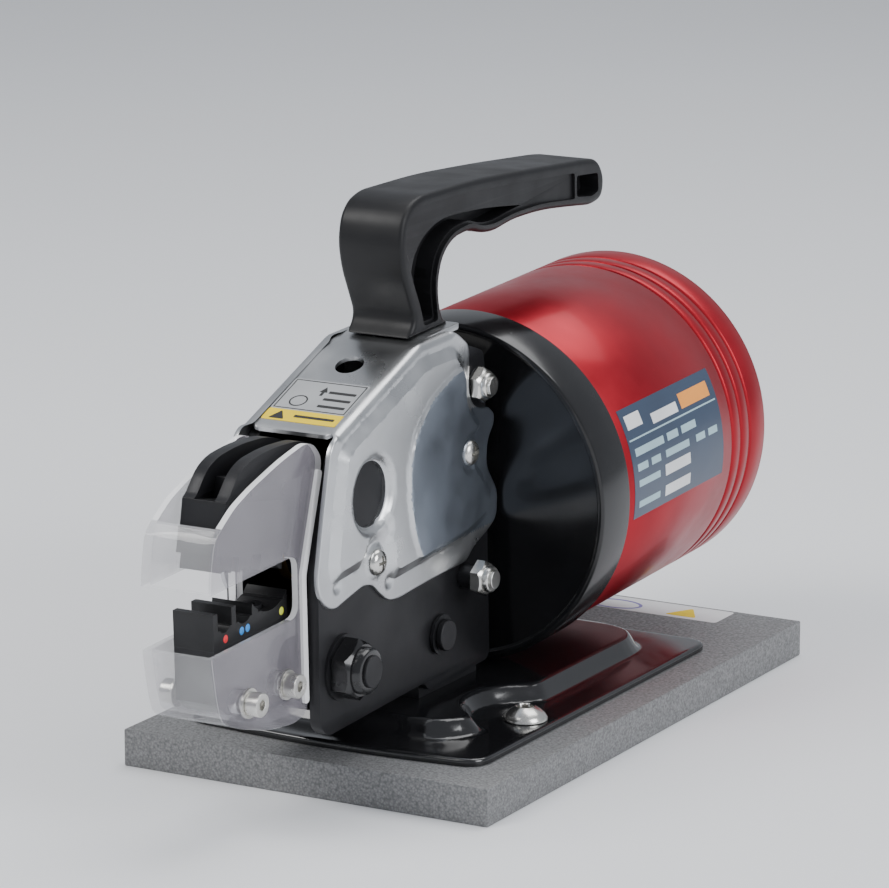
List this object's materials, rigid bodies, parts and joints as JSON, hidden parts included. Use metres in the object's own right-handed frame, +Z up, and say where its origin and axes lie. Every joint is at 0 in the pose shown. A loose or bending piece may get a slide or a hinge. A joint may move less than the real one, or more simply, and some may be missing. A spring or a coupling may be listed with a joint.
{
  "type": "pneumatic crimping tool",
  "caption": "Bench crimping tool: an air cylinder drives a cam that closes a pivoting upper jaw onto a fixed lower die behind a clear guard.",
  "frame": {"origin": "centre of the slab's underside, on the bench", "axes": "+Z up, -Y toward the jaws and the operator, +Y toward the air inlet, +X to the right as seen from behind the cylinder"},
  "size_m": [0.13, 0.297, 0.1787],
  "materials": {
    "slab": "satin",
    "black_sheet": "gloss",
    "black_steel": "black oxide",
    "black_anodised": "black, gloss",
    "red_anodised": "satin",
    "silver_sheet": "satin",
    "zinc": "zinc plated",
    "steel": "ground",
    "aluminium": "turned",
    "bronze": "turned",
    "seal": "matt",
    "guide": "matt",
    "handle_plastic": "fine grain",
    "clear": "clear moulding",
    "blue_plastic": "satin"
  },
  "bodies": {
    "frame": {"bench_slab": "slab", "base_plate": "black_sheet", "base_pads": "steel", "base_screws": "zinc", "mount_block": "black_steel", "mount_screws": "black_steel", "block_dowels": "steel", "side_plate_right": "black_steel", "side_plate_left": "black_steel", "frame_bolt": "black_steel", "frame_nut": "black_steel", "frame_washers": "black_steel", "rear_pin": "black_steel", "rear_pin_clips": "black_steel", "cap_studs": "zinc", "stud_nuts": "zinc", "stud_spacers": "black_steel", "front_cap": "black_anodised", "front_cap_seal": "seal", "rod_bush": "bronze", "rod_seal": "seal", "cylinder_tube": "red_anodised", "rear_cap": "black_anodised", "rear_cap_seal": "seal", "retaining_ring": "steel", "return_spring": "steel", "air_fitting": "zinc", "lower_jaw": "black_steel", "lower_die": "black_steel", "lower_die_screw": "black_steel", "jaw_pivot_pin": "steel", "pivot_washers": "bronze", "handle_block": "steel", "handle_screws": "black_steel", "handle": "handle_plastic", "top_cover": "silver_sheet", "side_cover_right": "silver_sheet", "side_cover_left": "silver_sheet", "cover_screws": "zinc", "guard": "clear", "guard_spacers": "aluminium", "guard_screws": "zinc", "guard_washers": "zinc"},
    "ram": {"piston": "aluminium", "piston_seal": "seal", "wear_ring": "guide", "piston_rod": "steel", "piston_nut": "steel", "cam_blade": "steel", "blade_pins": "steel"},
    "jaw": {"jaw_plate_right": "black_steel", "jaw_plate_left": "black_steel", "die_holder": "black_steel", "holder_rivets": "black_steel", "upper_die": "black_steel", "upper_die_screw": "black_steel", "roller_pin": "steel"},
    "roller": {"cam_roller": "steel"},
    "collet": {"fitting_collet": "blue_plastic"}
  },
  "joints": [
    {"name": "piston_slide", "type": "slide", "parent": "frame", "child": "ram", "axis": [0, -0.9994, -0.0349], "range_m": [0, 0.028], "stiffness_N_per_m": 2500, "springref_m": -0.02, "deforming": ["return_spring"]},
    {"name": "jaw_pivot", "type": "hinge", "parent": "frame", "child": "jaw", "pos_m": [0, -0.09493, 0.07311], "axis": [1, 0, 0], "range_deg": [0, 12.6]},
    {"name": "roller_spin", "type": "hinge", "parent": "jaw", "child": "roller", "pos_m": [0, -0.05839, 0.0871], "axis": [1, 0, 0], "range_deg": [-200, 0]},
    {"name": "collet_slide", "type": "slide", "parent": "frame", "child": "collet", "axis": [0, -0.9994, -0.0349], "range_m": [0, 0.0012], "stiffness_N_per_m": 800}
  ],
  "couplings": [
    {"joint": "jaw_pivot", "follows": "piston_slide", "rad_per_m": 7.7916},
    {"joint": "roller_spin", "follows": "piston_slide", "rad_per_m": -122}
  ]
}
